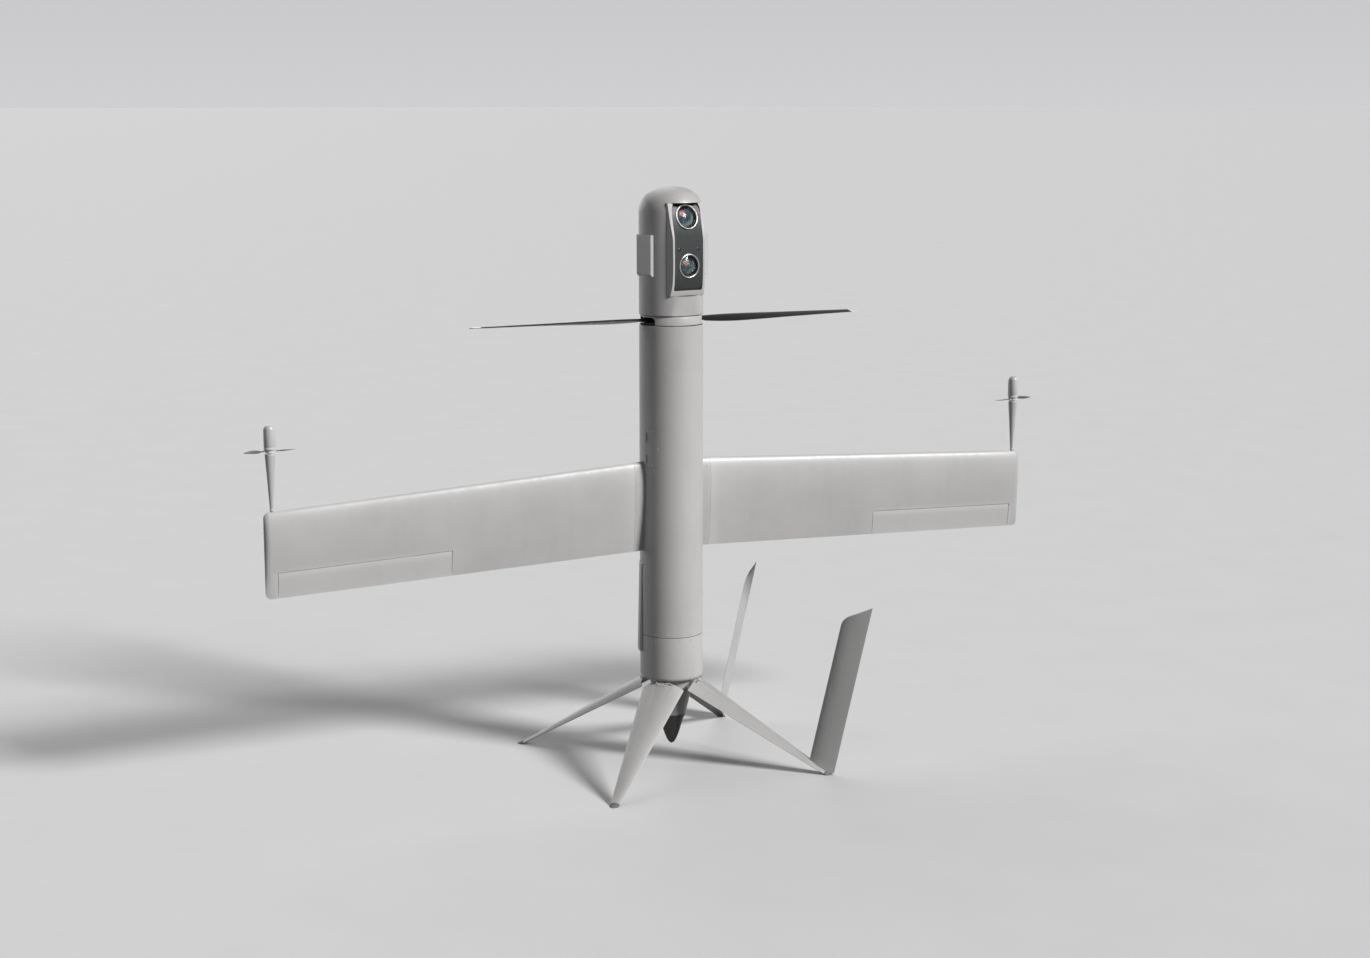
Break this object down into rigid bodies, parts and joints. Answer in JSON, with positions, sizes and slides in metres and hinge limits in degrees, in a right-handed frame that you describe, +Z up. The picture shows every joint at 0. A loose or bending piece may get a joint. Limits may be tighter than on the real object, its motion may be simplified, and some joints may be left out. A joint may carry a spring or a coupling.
{
  "type": "tail-sitting winged drone",
  "caption": "Slender tail-sitting drone with a coaxial nose rotor, panning camera head, long wing with tip thrusters and folding petal legs.",
  "frame": {"origin": "on the ground, on the fuselage axis, midway between the four feet", "axes": "+Z up along the fuselage axis towards the nose, +X towards the right wing, -Y the belly side"},
  "size_m": [3.1213, 0.971, 2.092],
  "materials": {
    "body_paint": "light grey satin paint on composite",
    "wing_paint": "light grey satin paint on composite",
    "fin_paint": "mid grey satin paint on composite",
    "dark_cap": "matt dark grey",
    "dark_window": "dark tinted gloss window",
    "lens_glass": "coated lens glass over a dark barrel",
    "machined_aluminium": "machined and bead blasted",
    "steel": "ground steel",
    "carbon": "carbon fibre composite",
    "prop_plastic": "grey moulded plastic",
    "tank_plastic": "translucent off-white moulding",
    "avionics_case": "black coated case"
  },
  "bodies": {
    "airframe": {"fuselage_shell": "body_paint", "tail_section": "body_paint", "cooling_outlet_fairing": "body_paint", "left_wing": "wing_paint", "right_wing": "wing_paint", "left_wing_root_fitting": "wing_paint", "right_wing_root_fitting": "wing_paint", "wing_spar": "carbon", "left_thruster_boom": "body_paint", "right_thruster_boom": "body_paint", "left_thruster_motor": "steel", "right_thruster_motor": "steel", "sensor_mast": "machined_aluminium", "front_bulkhead": "carbon", "engine_mount": "machined_aluminium", "engine_crankcase": "machined_aluminium", "engine_cylinder": "machined_aluminium", "fuel_tank": "tank_plastic", "avionics_box": "avionics_case", "tail_bulkhead": "machined_aluminium", "tail_cone": "body_paint", "tail_cone_tip": "dark_cap"},
    "head": {"head_shell": "body_paint", "head_base": "machined_aluminium", "camera_block": "dark_cap", "head_bezel": "body_paint", "sensor_window": "dark_window", "upper_lens_ring": "machined_aluminium", "lower_lens_ring": "machined_aluminium", "upper_lens": "lens_glass", "lower_lens": "lens_glass", "left_side_pod": "body_paint", "right_side_pod": "body_paint"},
    "rotor": {"rotor_ring": "body_paint", "rotor_hub": "machined_aluminium", "rotor_shaft": "steel", "main_gear": "steel"},
    "crank": {"crankshaft_pinion": "steel"},
    "swash": {"swashplate": "machined_aluminium"},
    "left_blade": {"left_rotor_blade": "carbon"},
    "right_blade": {"right_rotor_blade": "carbon"},
    "left_spinner": {"left_thruster_spinner": "machined_aluminium"},
    "right_spinner": {"right_thruster_spinner": "machined_aluminium"},
    "hatch": {"access_hatch": "body_paint"},
    "left_flap": {"left_aileron": "wing_paint"},
    "right_flap": {"right_aileron": "wing_paint"},
    "left_prop_a": {"left_prop_blade_a": "prop_plastic"},
    "left_prop_b": {"left_prop_blade_b": "prop_plastic"},
    "right_prop_a": {"right_prop_blade_a": "prop_plastic"},
    "right_prop_b": {"right_prop_blade_b": "prop_plastic"},
    "leg_front_right": {"tail_leg_front_right": "body_paint", "foot_front_right": "dark_cap", "tail_fin_front_right": "fin_paint"},
    "leg_rear_right": {"tail_leg_rear_right": "body_paint", "foot_rear_right": "dark_cap", "tail_fin_rear_right": "fin_paint"},
    "leg_rear_left": {"tail_leg_rear_left": "body_paint", "foot_rear_left": "dark_cap"},
    "leg_front_left": {"tail_leg_front_left": "body_paint", "foot_front_left": "dark_cap"}
  },
  "joints": [
    {"name": "head_pan", "type": "hinge", "parent": "airframe", "child": "head", "pos_m": [0, 0, 1.66], "axis": [0, 0, 1], "range_deg": [-165, 165]},
    {"name": "rotor_spin", "type": "hinge", "parent": "airframe", "child": "rotor", "pos_m": [0, 0, 1.62], "axis": [0, 0, 1], "continuous": true},
    {"name": "crank_spin", "type": "hinge", "parent": "airframe", "child": "crank", "pos_m": [0, 0.0608, 1.45], "axis": [0, 0, 1], "continuous": true},
    {"name": "swashplate_slide", "type": "slide", "parent": "rotor", "child": "swash", "axis": [0, 0, 1], "range_m": [-0.004, 0.008]},
    {"name": "right_blade_pitch", "type": "hinge", "parent": "rotor", "child": "right_blade", "pos_m": [0.05, 0, 1.624], "axis": [1, 0, 0], "range_deg": [-10.2, 20.2]},
    {"name": "left_blade_pitch", "type": "hinge", "parent": "rotor", "child": "left_blade", "pos_m": [-0.05, 0, 1.624], "axis": [-1, 0, 0], "range_deg": [-10.2, 20.2]},
    {"name": "left_thruster_spin", "type": "hinge", "parent": "airframe", "child": "left_spinner", "pos_m": [-1.4707, 0, 1.2495], "axis": [0, 0, 1], "continuous": true},
    {"name": "left_prop_fold_a", "type": "hinge", "parent": "left_spinner", "child": "left_prop_a", "pos_m": [-1.4532, 0, 1.2495], "axis": [0, 1, 0], "range_deg": [0, 80]},
    {"name": "left_prop_fold_b", "type": "hinge", "parent": "left_spinner", "child": "left_prop_b", "pos_m": [-1.4882, 0, 1.2495], "axis": [0, -1, 0], "range_deg": [0, 80]},
    {"name": "right_thruster_spin", "type": "hinge", "parent": "airframe", "child": "right_spinner", "pos_m": [1.4707, 0, 1.2495], "axis": [0, 0, 1], "continuous": true},
    {"name": "right_prop_fold_a", "type": "hinge", "parent": "right_spinner", "child": "right_prop_a", "pos_m": [1.48768, 0.00423, 1.2495], "axis": [-0.2419, 0.9703, 0], "range_deg": [0, 80]},
    {"name": "right_prop_fold_b", "type": "hinge", "parent": "right_spinner", "child": "right_prop_b", "pos_m": [1.45372, -0.00423, 1.2495], "axis": [0.2419, -0.9703, 0], "range_deg": [0, 80]},
    {"name": "left_aileron_hinge", "type": "hinge", "parent": "airframe", "child": "left_flap", "pos_m": [-0.8435, 0, 0.85745], "axis": [-0.9994, 0, -0.0339], "range_deg": [-25, 25]},
    {"name": "right_aileron_hinge", "type": "hinge", "parent": "airframe", "child": "right_flap", "pos_m": [0.8435, 0, 0.85745], "axis": [0.9994, 0, -0.0339], "range_deg": [-25, 25]},
    {"name": "hatch_hinge", "type": "hinge", "parent": "airframe", "child": "hatch", "pos_m": [-0.11325, -0.02511, 1.17], "axis": [0, 0, -1], "range_deg": [0, 95]},
    {"name": "petal_front_right", "type": "hinge", "parent": "airframe", "child": "leg_front_right", "pos_m": [0.07495, -0.07495, 0.3075], "axis": [0.7071, 0.7071, 0], "range_deg": [0, 66.7]},
    {"name": "petal_rear_right", "type": "hinge", "parent": "airframe", "child": "leg_rear_right", "pos_m": [0.07495, 0.07495, 0.3075], "axis": [-0.7071, 0.7071, 0], "range_deg": [0, 66.7]},
    {"name": "petal_rear_left", "type": "hinge", "parent": "airframe", "child": "leg_rear_left", "pos_m": [-0.07495, 0.07495, 0.3075], "axis": [-0.7071, -0.7071, 0], "range_deg": [0, 66.7]},
    {"name": "petal_front_left", "type": "hinge", "parent": "airframe", "child": "leg_front_left", "pos_m": [-0.07495, -0.07495, 0.3075], "axis": [0.7071, -0.7071, 0], "range_deg": [0, 66.7]}
  ],
  "couplings": [
    {"joint": "crank_spin", "follows": "rotor_spin", "ratio": -3},
    {"joint": "right_blade_pitch", "follows": "swashplate_slide", "rad_per_m": 43.6},
    {"joint": "left_blade_pitch", "follows": "swashplate_slide", "rad_per_m": 43.6},
    {"joint": "petal_rear_right", "follows": "petal_front_right", "ratio": 1},
    {"joint": "petal_rear_left", "follows": "petal_front_right", "ratio": 1},
    {"joint": "petal_front_left", "follows": "petal_front_right", "ratio": 1}
  ]
}
